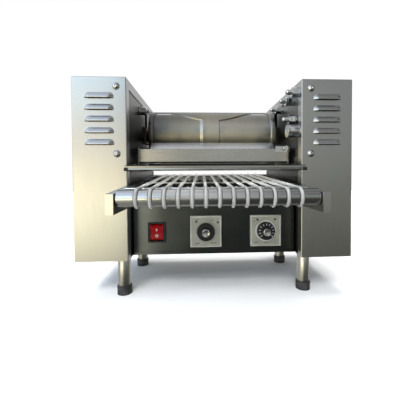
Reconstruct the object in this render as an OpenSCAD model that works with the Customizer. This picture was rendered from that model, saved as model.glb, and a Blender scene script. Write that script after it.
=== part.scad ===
// Table-top wrapper sheet machine: a heated drum picks batter up from a tank in front of it, a knife
// at the back peels the baked sheet off, and a conveyor of round cords carries it out under the tray.
// Millimetres. X runs across the machine, Y from its front to its back and Z up. The origin is the
// middle of the whole outline, on the surface that the feet stand on.

/* [Cabinets] */
// Clear width between the two cabinets
gap_w = 252; // [240:1:270]
// Width of each cabinet
cabinet_w = 76; // [74:1:100]
// Depth of each cabinet, front to back
cabinet_d = 206; // [204:1:230]
// Height of each cabinet, without its legs
cabinet_h = 262; // [260:1:290]
// Height of a cabinet's underside above the ground
floor_z = 60; // [50:1:62]
// Thickness of the cover and panel sheet
sheet_t = 1.2; // [1:0.1:1.4]
// Width of the rim folded inwards round a cover's open side
rim_w = 14; // [10:1:14]
// Thickness of the two side plates that carry everything
plate_t = 3; // [2.5:0.5:3.5]

/* [Louvres] */
// Louvres on each cabinet's front
louvre_count = 5; // [3:1:6]
// Width of one louvre
louvre_w = 40.5; // [30:0.5:44]
// Height of one louvre
louvre_h = 8; // [6:0.5:9]
// How far a louvre stands out
louvre_out = 3.6; // [2.5:0.1:4]
// Distance from one louvre to the next
louvre_pitch = 16.4; // [14:0.1:18]

/* [Legs] */
// Diameter of a leg tube
leg_d = 19; // [18:1:24]
// Height of a rubber foot
foot_h = 13; // [10:1:16]

/* [Drum] */
// Radius of the drum's raised, baking surface
drum_r = 44; // [43:0.5:44]
// Depth of the background that stays bare of batter
recess = 1.8; // [1:0.1:2]
// Half of the width between the drum's end rims
drum_half = 106; // [100:1:106]
// Diameter of the round raised plate, measured along the drum's surface
plate_d = 184; // [170:1:186]
// Width of the raised strip that leads from the plate round to itself
strip_w = 28.4; // [20:0.1:36]
// Offset of the strip's middle from the middle of the drum
strip_x = -2.8; // [-10:0.1:10]
// Direction of the plate's centre, from straight back and up
plate_angle = 25; // [0:5:90]

/* [Conveyor] */
// How far the conveyor stands out in front of the cabinets
overhang = 88; // [80:1:88]
// Diameter of both rollers
roller_d = 20; // [20:0.5:20.5]
// Number of round conveyor cords
cord_count = 13; // [9:1:13]
// Diameter of a cord
cord_d = 4; // [3.5:0.1:4]
// Distance from one cord to the next
cord_pitch = 15.7; // [14:0.1:15.8]

/* [Gears] */
// Gear module
gear_m = 1.5; // [1.5]
// Teeth on the drum's gear
drum_teeth = 48; // [48]
// Teeth on each idler
idler_teeth = 20; // [20]
// Teeth on the motor pinion and on the drive roller's gear
pinion_teeth = 12; // [12]

/* [Controls] */
// Side of a square controller's front
controller_w = 48; // [48]
// Diameter of a dial
dial_d = 27.5; // [24:0.5:32]
// Diameter of a dial's raised grip
grip_d = 13; // [10:0.5:16]
// Width of the mains switch's front
switch_w = 27; // [25:1:30]
// Height of the mains switch's front
switch_h = 31; // [31:1:34]

/* [Hidden] */

round_fn = 64;      // facets asked for on round solids, which stay true curves
fit = 0.05;         // radial clearance of a shaft in its bore

// Main planes
cab_x = gap_w / 2;                              // inner face of each cabinet
out_x = cab_x + cabinet_w;                      // outer face of each cabinet
plate_x = cab_x + sheet_t;                      // gap side of a side plate
plate_out = plate_x + plate_t;                  // cabinet side of a side plate
conv_y = -(overhang + cabinet_d) / 2;           // front of the conveyor
cab_y = conv_y + overhang;                      // front face of the cabinets
rear_y = cab_y + cabinet_d;                     // rear face of the cabinets
cab_top = floor_z + cabinet_h;
base_t = 1.5;
base_top = floor_z + base_t;
panel_y = cab_y + 29;                           // front face of the control panel
deck_z = floor_z + 80;                          // top of the deck over the electrics
rear_panel_y = rear_y - 17;                     // front face of the recessed rear panel

// Legs
leg_xs = [-cab_x - 15, cab_x + 15];
leg_ys = [cab_y + 32, cab_y + 158];
leg_stud_r = 4;

// Drum
drum_y = cab_y + 138;
drum_z = floor_z + 197;
shell_r = 38;                                   // inside of the drum shell
end_r = drum_r + 1;                             // end rims
flange_end = drum_half + 9;                     // outer face of an end flange
journal_r = 10;                                 // hollow journal on the left
shaft_r = 8;                                    // drive shaft on the right
carrier_r = 6.5;                                // fixed heater carrier in the hollow journal
slot_r = 11;                                    // half width of the slot for a bearing

// Tank, tray and guides
tank_x = 120;
tank_front = cab_y + 40;
tank_rear = drum_y + 35;
tank_floor = drum_z - 52;                       // inside of the tank's floor
tank_top = tank_floor + 19;
tank_foot = tank_floor - 6;                     // lower edge of the tank's end plates
tray_x = 122;
tray_front = cab_y - 29;
tray_rear = cab_y + 103;
tray_z = tank_foot - 9;
bar_y = drum_y + 47;                            // front face of the knife's holder bar

// Conveyor
front_axis = [conv_y + 13, floor_z + 97];       // Y and Z of the front roller's axis
rear_axis = [rear_y - 13, floor_z + 113];       // Y and Z of the drive roller's axis
roller_r = roller_d / 2;
roller_half = 116;
axle_r = 4;
web_x = 117;                                    // inner face of a conveyor bracket
web_t = 1.5;
flange_x = cab_x - 0.2;
cord_gap = 0.3;                                 // cord to groove
groove_r = roller_r - 2;
groove_w = cord_d + 0.8;
cord_r = groove_r + cord_gap + cord_d / 2;      // centre line round a roller
cord_xs = [for (i = [0:cord_count - 1]) (i - (cord_count - 1) / 2) * cord_pitch];
run = rear_axis - front_axis;
run_len = norm(run);
run_tilt = atan2(run[1], run[0]);
rod_r = 1.5;
rod_spots = [36, 115, 225];                     // support rods, along the upper run
bush_r = 7;

// Gear train, in the plane of Y and Z
gear_x0 = plate_out + 7.8;
gear_t = 8;
gear_x1 = gear_x0 + gear_t;
pressure = 25;
function pitch_r(teeth) = gear_m * teeth / 2;
function polar(r, a) = [r * cos(a), r * sin(a)];
drum_axis = [drum_y, drum_z];
motor_dir = 160;
motor_axis = drum_axis + polar(pitch_r(drum_teeth) + pitch_r(pinion_teeth), motor_dir);
upper_dir = -66;
upper_axis = drum_axis + polar(pitch_r(drum_teeth) + pitch_r(idler_teeth), upper_dir);
// The lower idler meshes with the upper idler and with the drive roller's gear
to_roller = rear_axis - upper_axis;
idler_gap = 2 * pitch_r(idler_teeth);
roller_gap = pitch_r(idler_teeth) + pitch_r(pinion_teeth);
along = (idler_gap ^ 2 - roller_gap ^ 2 + norm(to_roller) ^ 2) / (2 * norm(to_roller));
aside = sqrt(idler_gap ^ 2 - along ^ 2);
lower_dir = atan2(to_roller[1], to_roller[0]) + atan2(aside, along);
lower_axis = upper_axis + polar(idler_gap, lower_dir);
last_dir = atan2(rear_axis[1] - lower_axis[1], rear_axis[0] - lower_axis[0]);
// Phase of gear b that meshes with gear a in direction dir, so that a tooth meets a gap
function mesh(dir, phase_a, za, zb) = dir + 180 + (dir - phase_a) * za / zb + 180 / zb;
drum_phase = 0;
motor_phase = mesh(motor_dir, drum_phase, drum_teeth, pinion_teeth);
upper_phase = mesh(upper_dir, drum_phase, drum_teeth, idler_teeth);
lower_phase = mesh(lower_dir, upper_phase, idler_teeth, idler_teeth);
roller_phase = mesh(last_dir, lower_phase, idler_teeth, pinion_teeth);
idler_pin_r = 3;

// Motor
bracket_x0 = gear_x1 + 5;                       // motor bracket's inner face
bracket_x1 = bracket_x0 + 3;
box_w = 56;                                     // gearbox, square
box_x1 = bracket_x1 + 17;
motor_x1 = out_x - sheet_t - 5;
box_axis = motor_axis - [14.7, 7.4];            // the output shaft is off the gearbox's centre

// Bolts through the right side plate, as Y and Z, and the one on the left
stud_r = 3.9;
bolt_tip = cab_x - 21.4;                        // domed end of the right plate's bolts
bolt_spots = [[cab_y + 9, floor_z + 245], [cab_y + 41, floor_z + 240.5], [cab_y + 98, floor_z + 240.5],
    [cab_y + 26, floor_z + 208]];
left_bolt = [cab_y + 84, floor_z + 234];
boss_spot = [cab_y + 12, floor_z + 188];
boss_neck_r = 5;
tie_spot = [rear_y - 10, cab_top - 6];
tie_r = 2;

// Screws in the covers' fronts
screw_x = cab_x + 14;
screw_zs = [cab_top - 13.5, cab_top - 108.5];
screw_r = 2;

// Louvres
louvre_x = cab_x + 38;
louvre_top = cab_top - 26;                      // middle of the top louvre

// Controls, at the panel
switch_at = [-90, floor_z + 34.5];
temperature_at = [-14.5, floor_z + 35.5];
speed_at = [78.5, floor_z + 35.5];
switch_pivot = panel_y + 5.5;
cut_w = controller_w - 2.8;                     // side of a controller's body
bezel_t = 6;

steel = [0.78, 0.78, 0.77];
bright = [0.86, 0.86, 0.87];
dark = [0.13, 0.13, 0.14];

// ---------- helpers ----------

// A box from its ranges along X, Y and Z
module box(x, y, z)
    translate([x[0], y[0], z[0]]) cube([x[1] - x[0], y[1] - y[0], z[1] - z[0]]);

// Turns a flat drawing of Y and Z into a solid between two X values
module across(x0, x1)
    translate([x0, 0, 0]) rotate([90, 0, 90]) linear_extrude(x1 - x0) children();

// A round bar along X at a given Y and Z
module bar(x0, x1, at, r)
    translate([x0, at[0], at[1]]) rotate([0, 90, 0]) cylinder(h = x1 - x0, r = r, $fn = round_fn);

// A round bar along Y, from y0 to y1, at a given X and Z
module stub(y0, y1, x, z, r)
    translate([x, y1, z]) rotate([90, 0, 0]) cylinder(h = y1 - y0, r = r, $fn = round_fn);

// A hexagon nut along X
module hex_x(x0, x1, at, across_flats)
    translate([x0, at[0], at[1]]) rotate([0, 90, 0])
        cylinder(h = x1 - x0, d = across_flats / cos(30), $fn = 6);

// The same thing for both sides, drawn for the right
module both_sides() {
    children();
    mirror([1, 0, 0]) children();
}

// ---------- frame ----------

module base_plate() color(steel) difference() {
    translate([0, 0, floor_z]) linear_extrude(base_t) difference() {
        translate([-out_x + sheet_t, cab_y + sheet_t])
            square([2 * (out_x - sheet_t), cabinet_d - 2 * sheet_t]);
        translate([-cab_x, cab_y]) square([gap_w, panel_y + sheet_t - cab_y]);
        translate([-plate_x, cab_y]) square([2 * plate_x, rim_w]);
        translate([-cab_x, rear_panel_y + sheet_t]) square([gap_w, rear_y - rear_panel_y]);
    }
    for (x = leg_xs, y = leg_ys)
        translate([x, y, floor_z - 1]) cylinder(h = 4, r = leg_stud_r + fit, $fn = round_fn);
}

// Right side plate, seen from the side, without its holes
module plate_outline() difference() {
    translate([cab_y + sheet_t, base_top])
        square([cabinet_d - 2 * sheet_t, cab_top - sheet_t - base_top]);
    translate(drum_axis) circle(r = slot_r, $fn = round_fn);
    translate([drum_y - slot_r, drum_z]) square([2 * slot_r, cabinet_h]);
    translate(tie_spot) circle(r = tie_r + fit, $fn = round_fn);
}

// A side plate with its two edge flanges for the cover's screws
module side_plate_blank() difference() {
    union() {
        across(plate_x, plate_out) plate_outline();
        for (y = [cab_y + sheet_t, rear_y - sheet_t - 2])
            box([plate_x, plate_x + 24], [y, y + 2], [base_top, cab_top - sheet_t]);
    }
    for (z = screw_zs) stub(cab_y, cab_y + 8, screw_x, z, screw_r + fit);
}

module right_side_plate() color(steel) difference() {
    side_plate_blank();
    for (at = bolt_spots) bar(plate_x - 1, plate_out + 1, at, stud_r + fit);
    bar(plate_x - 1, plate_out + 1, boss_spot, boss_neck_r + fit);
    bar(plate_x - 1, plate_out + 1, rear_axis, bush_r + fit);
    for (at = [upper_axis, lower_axis]) bar(plate_x - 1, plate_out + 1, at, idler_pin_r + fit);
    // The rear flange has a window for the drive roller's gear
    box([gear_x0 - 2, gear_x1 + 10], [rear_y - 5, rear_y], [rear_axis[1] - 12, rear_axis[1] + 12]);
}

module left_side_plate() color(steel) mirror([1, 0, 0]) difference() {
    side_plate_blank();
    bar(plate_x - 1, plate_out + 1, left_bolt, stud_r + fit);
}

// One louvre's hood: a wedge, open below, with closed ends
module louvre_hood() {
    top = louvre_h / 2;
    wall = 1;
    difference() {
        across(-louvre_w / 2, louvre_w / 2)
            polygon([[0, top], [0, -top], [-louvre_out, -top], [-louvre_out, -top + 2]]);
        across(-louvre_w / 2 + wall, louvre_w / 2 - wall)
            polygon([[1, top], [1, -top - 1], [-louvre_out + wall, -top - 1],
                [-louvre_out + wall, -top + 2 - wall / 2], [0, top - wall]]);
    }
}

module cover_blank() difference() {
    union() {
        difference() {
            box([cab_x, out_x], [cab_y, rear_y], [floor_z, cab_top]);
            box([plate_x, out_x - sheet_t], [cab_y + sheet_t, rear_y - sheet_t],
                [floor_z - 1, cab_top - sheet_t]);
            box([cab_x - 1, plate_x + 1], [cab_y + rim_w, rear_y - rim_w],
                [floor_z - 1, cab_top - rim_w]);
            box([cab_x - 1, plate_x + 1], [cab_y + rim_w, rear_y - sheet_t],
                [floor_z - 1, floor_z + 130]);
            for (i = [0:louvre_count - 1])
                translate([louvre_x, cab_y, louvre_top - i * louvre_pitch])
                    box([-louvre_w / 2 + 1, louvre_w / 2 - 1], [-1, sheet_t + 1],
                        [-louvre_h / 2, louvre_h / 2 - 1]);
        }
        for (i = [0:louvre_count - 1])
            translate([louvre_x, cab_y, louvre_top - i * louvre_pitch]) louvre_hood();
    }
    for (z = screw_zs) stub(cab_y - 1, cab_y + 3, screw_x, z, screw_r + fit);
    bar(cab_x - 1, plate_x + 1, tie_spot, tie_r + fit);
}

module right_cover() color(steel) difference() {
    cover_blank();
    bar(cab_x - 1, plate_x + 1, bolt_spots[0], stud_r + fit);
    bar(cab_x - 1, plate_x + 1, boss_spot, boss_neck_r + fit);
}

module left_cover() color(steel) mirror([1, 0, 0]) cover_blank();

// Domed heads with a hexagon socket, and their shanks
module cover_screws() color(bright) both_sides() for (z = screw_zs) translate([screw_x, cab_y, z])
    rotate([90, 0, 0]) difference() {
        head_r = 5.25;
        head_h = 3.2;
        dome_r = (head_r ^ 2 + head_h ^ 2) / (2 * head_h);
        union() {
            rotate_extrude($fn = round_fn) intersection() {
                translate([0, head_h - dome_r]) circle(r = dome_r, $fn = round_fn);
                square([head_r, head_h]);
            }
            translate([0, 0, -7]) cylinder(h = 7.5, r = screw_r, $fn = round_fn);
        }
        translate([0, 0, head_h - 1.8]) cylinder(h = 3, r = 1.7, $fn = 6);
    }

module control_panel() color(steel) difference() {
    half = cab_x - 0.5;
    union() {
        box([-half, half], [panel_y, panel_y + sheet_t], [floor_z, deck_z]);
        box([-half, half], [panel_y, panel_y + 16], [deck_z - sheet_t, deck_z]);
        box([-half, half], [panel_y - sheet_t, panel_y], [floor_z, floor_z + 4]);
        both_sides() box([half - sheet_t, half], [panel_y, panel_y + 16], [base_top, deck_z]);
    }
    translate([switch_at[0], panel_y, switch_at[1]])
        box([-switch_w / 2 + 2, switch_w / 2 - 2], [-1, 3], [-switch_h / 2 + 1.5, switch_h / 2 - 1.5]);
    for (at = [temperature_at, speed_at]) translate([at[0], panel_y, at[1]])
        box([-cut_w / 2 - 0.1, cut_w / 2 + 0.1], [-1, 3], [-cut_w / 2 - 0.1, cut_w / 2 + 0.1]);
}

// The lid over the electrics, with two crumb guards: one stands on it under the cords, and one
// spans the loop of cords between the conveyor's brackets
module deck_plate() color(steel) {
    low_y = rear_axis[0] - 17;
    high_y = rear_axis[0] - 94;
    box([-cab_x + 0.5, cab_x - 0.5], [panel_y + 16, rear_panel_y + sheet_t], [deck_z - sheet_t, deck_z]);
    box([-web_x + 2, web_x - 2], [low_y, low_y + sheet_t], [deck_z - sheet_t, rear_axis[1] - 14.5]);
    box([-web_x, web_x], [high_y, high_y + sheet_t], [rear_axis[1] - 12, rear_axis[1] - 1]);
}

module rear_panel() color(steel) difference() {
    box([-cab_x + 0.5, cab_x - 0.5], [rear_panel_y, rear_panel_y + sheet_t],
        [base_top, deck_z - sheet_t]);
    stub(rear_panel_y - 1, rear_panel_y + 3, -90, floor_z + 26, 8 + fit);
    for (i = [0:5]) box([10 + i * 16, 14 + i * 16], [rear_panel_y - 1, rear_panel_y + 3],
        [floor_z + 20, floor_z + 56]);
}

module cable_gland() color(dark) difference() {
    y0 = rear_panel_y;
    union() {
        stub(y0 - 8, y0 + 4, -90, floor_z + 26, 8);
        stub(y0 + sheet_t, y0 + 7, -90, floor_z + 26, 11);
        stub(y0 + 7, y0 + 14, -90, floor_z + 26, 9);
        stub(y0 - 5, y0, -90, floor_z + 26, 11);
    }
    stub(y0 - 9, y0 + 15, -90, floor_z + 26, 4.2);
}

module rear_tie_rod() color(bright) {
    bar(-plate_out - 5, plate_out + 5, tie_spot, tie_r);
    both_sides() difference() {
        hex_x(plate_out, plate_out + 3.2, tie_spot, 7);
        bar(plate_out - 1, plate_out + 4, tie_spot, tie_r - 0.5);
    }
}

module legs() color(bright) for (x = leg_xs, y = leg_ys) translate([x, y, 0]) {
    difference() {
        translate([0, 0, 5]) cylinder(h = floor_z - 5, d = leg_d, $fn = round_fn);
        translate([0, 0, 4]) cylinder(h = floor_z - 8, d = leg_d - 4, $fn = round_fn);
    }
    translate([0, 0, floor_z - 4]) cylinder(h = 15, r = leg_stud_r, $fn = round_fn);
}

module leg_nuts() color(bright) for (x = leg_xs, y = leg_ys) translate([x, y, base_top]) difference() {
    cylinder(h = 5, d = 13 / cos(30), $fn = 6);
    translate([0, 0, -1]) cylinder(h = 7, r = leg_stud_r + fit, $fn = round_fn);
}

module rubber_feet() color(dark) for (x = leg_xs, y = leg_ys) translate([x, y, 0]) difference() {
    cylinder(h = foot_h, d = leg_d + 3, $fn = round_fn);
    translate([0, 0, 5]) cylinder(h = foot_h, d = leg_d + 2 * fit, $fn = round_fn);
}

// ---------- drum and heater ----------

// A stretch of the raised surface round the drum's axis, from angle a0, half_w wide on each side
module drum_band(a0, span, half_w) intersection() {
    bar(-half_w, half_w, drum_axis, drum_r);
    across(-half_w, half_w) translate(drum_axis)
        polygon([[0, 0], for (i = [0:3]) polar(2 * drum_r, a0 + span * i / 3)]);
}

module drum_shell() color(bright) difference() {
    band = 10;
    half_span = 180 / PI * plate_d / 2 / drum_r;
    reach = round(half_span / band) * band;
    union() {
        bar(-drum_half, drum_half, drum_axis, drum_r - recess);
        for (a = [-reach:band:reach - band]) {
            arc = drum_r * (a + band / 2) * PI / 180;
            drum_band(plate_angle + a, band, sqrt((plate_d / 2) ^ 2 - arc ^ 2));
        }
        translate([strip_x, 0, 0]) drum_band(plate_angle + reach, 360 - 2 * reach, strip_w / 2);
    }
    bar(-drum_half - 1, drum_half + 1, drum_axis, shell_r);
}

// An end flange without its hub's bore
module flange_blank() {
    difference() {
        bar(drum_half, flange_end, drum_axis, end_r);
        bar(drum_half + 4, flange_end + 1, drum_axis, end_r - 4);
    }
    bar(drum_half, flange_end, drum_axis, 16);
    difference() {
        bar(drum_half - 6, drum_half + 1, drum_axis, shell_r - fit);
        bar(drum_half - 7, drum_half, drum_axis, shell_r - 5);
    }
}

module drum_right_flange() color(bright) difference() {
    flange_blank();
    bar(drum_half - 8, flange_end + 1, drum_axis, shaft_r + fit / 2);
}

module drum_left_flange() color(bright) mirror([1, 0, 0]) difference() {
    union() {
        flange_blank();
        bar(flange_end, plate_out + 6, drum_axis, journal_r);
    }
    bar(drum_half - 8, plate_out + 8, drum_axis, carrier_r + 1);
}

module drum_drive_shaft() color(bright) bar(drum_half - 2, gear_x1 + 3, drum_axis, shaft_r);

// A sliding block that drops into the plate's slot and is held between two cheeks
module bearing_block(bore) difference() {
    union() {
        bar(plate_x - 3, plate_out + 3, drum_axis, slot_r - fit);
        box([plate_x - 3, plate_out + 3], [drum_y - slot_r + fit, drum_y + slot_r - fit],
            [drum_z, drum_z + 16]);
        for (x = [plate_x - 3, plate_out])
            box([x, x + 3], [drum_y - 15, drum_y + 15], [drum_z - 15, drum_z + 16]);
    }
    bar(plate_x - 4, plate_out + 4, drum_axis, bore + fit);
}

module drum_bearings() color([0.72, 0.6, 0.35]) {
    bearing_block(shaft_r);
    mirror([1, 0, 0]) bearing_block(journal_r);
}

module heater_carrier() color(steel) difference() {
    union() {
        bar(-plate_out - 20, drum_half - 16, drum_axis, carrier_r);
        for (x = [-80, 80]) bar(x - 1, x + 1, drum_axis, shell_r - 6);
    }
    bar(-plate_out - 21, drum_half - 15, drum_axis, carrier_r - 2);
    for (i = [0:2]) bar(-90, 90, drum_axis + polar(shell_r - 14, 30 + 120 * i), 4 + fit);
}

module heater_rods() color([0.42, 0.36, 0.32])
    for (i = [0:2]) bar(-drum_half + 14, drum_half - 14, drum_axis + polar(shell_r - 14, 30 + 120 * i), 4);

module heater_clamp() color(steel) difference() {
    x1 = -plate_out - 13;
    union() {
        box([x1 - 4, x1], [drum_y - 20, drum_y + 20], [drum_z - 24, drum_z + 20]);
        for (y = [drum_y - 16, drum_y + 16]) bar(x1, -plate_out, [y, drum_z - 20], 3.5);
    }
    bar(x1 - 5, x1 + 1, drum_axis, carrier_r + fit);
}

// ---------- tank, tray and guides ----------

module batter_tank() color(steel) {
    difference() {
        box([-tank_x + 0.6, tank_x - 0.6], [tank_front, tank_rear], [tank_floor - sheet_t, tank_top]);
        box([-tank_x + sheet_t, tank_x - sheet_t], [tank_front + sheet_t, tank_rear - sheet_t],
            [tank_floor, tank_top + 1]);
    }
    both_sides()
        box([tank_x - sheet_t, tank_x], [tank_front, tank_rear], [tank_foot, tank_top + 2]);
}

module tank_tab() color(bright) {
    box([tank_x - 21, tank_x + 1], [tank_front - 1.2, tank_front], [tank_top - 5, tank_top + 4]);
    stub(tank_front - 7, tank_front - 1.2, tank_x - 6, tank_top + 1, 3.5);
}

// The rails that the tank's end plates stand on
module tank_rails() color(steel) both_sides() {
    y = [cab_y + rim_w + 1, tank_rear + 2];
    box([web_x, plate_x], y, [tank_foot - 1.5, tank_foot]);
    box([plate_x - 1.5, plate_x], y, [tank_foot - 1, tank_foot + 11]);
}

// The plate stands in the tank on two legs and closes the gap up to the drum
module doctor_plate() color(bright) {
    half = 109;
    low = [tank_front + 40, tank_top + 4];
    high = [drum_y - 43.5, tank_top + 16];
    across(-half, half) polygon([low, high, high + [0.8, -0.9], low + [0.8, -0.9]]);
    both_sides() across(half - sheet_t, half)
        polygon([low, high, [high[0], high[1] - 10], [low[0] + 8, tank_floor], [low[0] - 8, tank_floor]]);
}

module drip_tray() color(steel) {
    rear_half = tray_x - 6;
    difference() {
        box([-tray_x, tray_x], [tray_front, tray_rear], [tray_z, tray_z + 6.4]);
        box([-tray_x + sheet_t, tray_x - sheet_t], [tray_front + sheet_t, tray_rear - sheet_t],
            [tray_z + sheet_t, tray_z + 8]);
        box([-tray_x - 1, tray_x + 1], [tray_front - 1, tray_front + 2], [tray_z + 5.2, tray_z + 8]);
    }
    box([-rear_half, rear_half], [tray_rear - sheet_t, tray_rear],
        [tray_z + 1, tank_floor - sheet_t - 0.6]);
    bar(-tray_x, tray_x, [tray_front, tray_z + 1], 1.7);
}

// The rails that the tray slides on
module tray_rails() color(steel) both_sides() {
    y = [cab_y + rim_w + 1, tray_rear];
    top = tray_z - 0.1;
    box([web_x, plate_x], y, [top - 1.5, top]);
    box([plate_x - 1.5, plate_x], y, [top - 11, top - 1]);
}

module knife_holder_bar() color(steel)
    box([-plate_x, plate_x], [bar_y, bar_y + 4], [drum_z - 31, drum_z - 17]);

// The blade leans on the back of the drum with its edge up, just clear of the raised surface
module peel_knife() color(bright) {
    edge_y = drum_y + drum_r + 0.1;
    edge_z = drum_z + 7.5;
    across(-drum_half + 3, drum_half - 3) polygon([[bar_y, drum_z - 29], [bar_y - 1, drum_z - 29],
        [bar_y - 1, drum_z - 17], [edge_y, edge_z], [edge_y + 0.7, edge_z], [bar_y, drum_z - 17]]);
}

// The guide that turns the falling sheet forwards onto the cords
module wrapper_chute() color(bright) {
    y = bar_y + 4;
    across(-drum_half, drum_half) polygon([[y, drum_z - 17], [y + 1, drum_z - 17],
        [y + 1, drum_z - 35], [y - 6, drum_z - 64], [y - 7, drum_z - 63.7], [y, drum_z - 34.8]]);
}

// ---------- conveyor ----------

// A channel whose fold has notches where the support rods are let in
module bracket_blank() difference() {
    rise = 20;
    top = front_axis[1] + 6;
    back = rear_y - 4;
    union() {
        across(web_x, web_x + web_t)
            polygon([[conv_y, deck_z], [back, deck_z], [back, top + rise], [conv_y, top]]);
        across(web_x, flange_x)
            polygon([[conv_y, top], [back, top + rise], [back, top + rise - web_t],
                [conv_y, top - web_t]]);
        box([web_x, flange_x], [conv_y, conv_y + web_t], [deck_z, top]);
        box([web_x, flange_x], [panel_y + 2, rear_panel_y], [deck_z, deck_z + web_t]);
    }
    bar(web_x - 1, web_x + 3, front_axis, axle_r + fit);
    bar(web_x - 1, web_x + 3, rear_axis, bush_r + fit);
    for (d = rod_spots) bar(web_x - 1, web_x + 2.1, rod_at(d), rod_r + fit);
}

module right_conveyor_bracket() color(steel) bracket_blank();

module left_conveyor_bracket() color(steel) mirror([1, 0, 0]) bracket_blank();

// Centre of a support rod, just under the upper run
function rod_at(d) = front_axis + polar(d, run_tilt)
    + polar(cord_r - cord_d / 2 - rod_r - 0.2, run_tilt + 90);

// Half of a roller's section: its outline with one groove for each cord
module roller(bore) rotate_extrude($fn = round_fn) difference() {
    translate([bore, -roller_half]) square([roller_r - bore, 2 * roller_half]);
    for (x = cord_xs) translate([groove_r, x - groove_w / 2]) square([roller_r, groove_w]);
}

module front_roller() color(bright)
    translate([0, front_axis[0], front_axis[1]]) rotate([0, 90, 0]) roller(axle_r + fit);

module front_roller_axle() color(bright) {
    bar(-web_x - 6, web_x + 6, front_axis, axle_r);
    both_sides() bar(web_x + web_t, web_x + 5, front_axis, 5);
}

module rear_roller() color(bright)
    translate([0, rear_axis[0], rear_axis[1]]) rotate([0, 90, 0]) roller(axle_r + 0.01);

module rear_roller_shaft() color(bright) bar(-web_x - 6, gear_x1 + 3, rear_axis, axle_r);

// A flanged bush whose flange bears on the face at x
module bush(x0, x) difference() {
    union() {
        bar(x0, x + 2, rear_axis, bush_r);
        bar(x, x + 2, rear_axis, bush_r + 0.7);
    }
    bar(x0 - 1, x + 3, rear_axis, axle_r + fit);
}

module conveyor_bushes() color([0.72, 0.6, 0.35]) {
    both_sides() bush(roller_half + 0.4, web_x + web_t);
    bush(plate_x - 0.5, plate_out);
}

// One endless cord round both rollers
module cord_loop(x) translate([x, 0, 0]) rotate([90, 0, 90]) {
    for (end = [[front_axis, 90], [rear_axis, -90]]) translate(end[0]) rotate(end[1] + run_tilt)
        rotate_extrude(angle = 180, $fn = round_fn) translate([cord_r, 0])
            circle(d = cord_d, $fn = round_fn);
    for (side = [-1, 1]) translate(front_axis) rotate(run_tilt) translate([0, side * cord_r, 0])
        rotate([0, 90, 0]) cylinder(h = run_len, d = cord_d, $fn = round_fn);
}

module conveyor_cords() color([0.86, 0.86, 0.84]) for (x = cord_xs) cord_loop(x);

module cord_support_rods() color(bright)
    for (d = rod_spots) bar(-web_x - 2, web_x + 2, rod_at(d), rod_r);

// ---------- gear train ----------

// Angle in degrees between a tooth flank's start and its point at radius r, for base radius rb
function involute(rb, r) = let (a = acos(min(1, rb / r))) 180 / PI * tan(a) - a;

// Half of a tooth's angle at radius r, thinned for backlash
function half_tooth(teeth, r) = let (p = pitch_r(teeth), rb = p * cos(pressure), thin = 0.15)
    90 / teeth - 180 / PI * thin / p + involute(rb, p) - involute(rb, r);

module gear_outline(teeth) {
    p = pitch_r(teeth);
    tip = p + 0.85 * gear_m;
    root = p - 1.2 * gear_m;
    start = max(root, p * cos(pressure));
    steps = 5;
    rs = [for (i = [0:steps]) start + (tip - start) * i / steps];
    polygon([for (t = [0:teeth - 1]) let (mid = 360 * t / teeth) each concat(
        [polar(root, mid - half_tooth(teeth, start))],
        [for (r = rs) polar(r, mid - half_tooth(teeth, r))],
        [for (i = [steps:-1:0]) polar(rs[i], mid + half_tooth(teeth, rs[i]))],
        [polar(root, mid + half_tooth(teeth, start))])]);
}

module gear(teeth, at, phase, bore) translate([gear_x0, at[0], at[1]]) rotate([90, 0, 90])
    rotate(phase) difference() {
        linear_extrude(gear_t) gear_outline(teeth);
        translate([0, 0, -1]) cylinder(h = gear_t + 2, r = bore, $fn = round_fn);
    }

module drum_gear() color(steel) gear(drum_teeth, drum_axis, drum_phase, shaft_r + fit / 2);

module upper_idler_gear() color([0.9, 0.88, 0.82])
    gear(idler_teeth, upper_axis, upper_phase, idler_pin_r + fit);

module lower_idler_gear() color([0.9, 0.88, 0.82])
    gear(idler_teeth, lower_axis, lower_phase, idler_pin_r + fit);

module roller_gear() color(steel) gear(pinion_teeth, rear_axis, roller_phase, axle_r + fit / 2);

module motor_pinion() color(steel) gear(pinion_teeth, motor_axis, motor_phase, axle_r + fit / 2);

module idler_pins() color(bright) for (at = [upper_axis, lower_axis]) {
    bar(plate_x, gear_x1 + 3, at, idler_pin_r);
    bar(plate_out, gear_x0 - 0.2, at, 6);
    bar(gear_x1 + 0.2, gear_x1 + 1.4, at, 5);
}

module motor_shaft() color(bright) bar(gear_x0 - 3, bracket_x1 + 8, motor_axis, axle_r);

module motor_bracket() color(steel) {
    spots = [bolt_spots[1], bolt_spots[2], bolt_spots[3]];
    low = [drum_y - 41, drum_z - 26];
    difference() {
        box([bracket_x0, bracket_x1], [bolt_spots[3][0] - 9, bolt_spots[2][0] + 9],
            [low[1] - 8, bolt_spots[2][1] + 9]);
        for (at = spots) bar(bracket_x0 - 1, bracket_x1 + 1, at, stud_r + fit);
        bar(bracket_x0 - 1, bracket_x1 + 1, motor_axis, 9);
    }
    bar(plate_out, bracket_x0, low, 4);
}

module gearbox() color([0.62, 0.63, 0.64]) difference() {
    translate([0, box_axis[0], box_axis[1]])
        box([bracket_x1, box_x1], [-box_w / 2, box_w / 2], [-box_w / 2, box_w / 2]);
    bar(bracket_x1 - 1, bracket_x1 + 9, motor_axis, axle_r + fit);
}

module gear_motor() color([0.3, 0.31, 0.33]) {
    bar(box_x1, motor_x1, box_axis, 25);
    bar(motor_x1, motor_x1 + 3, box_axis, 8);
}

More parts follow.
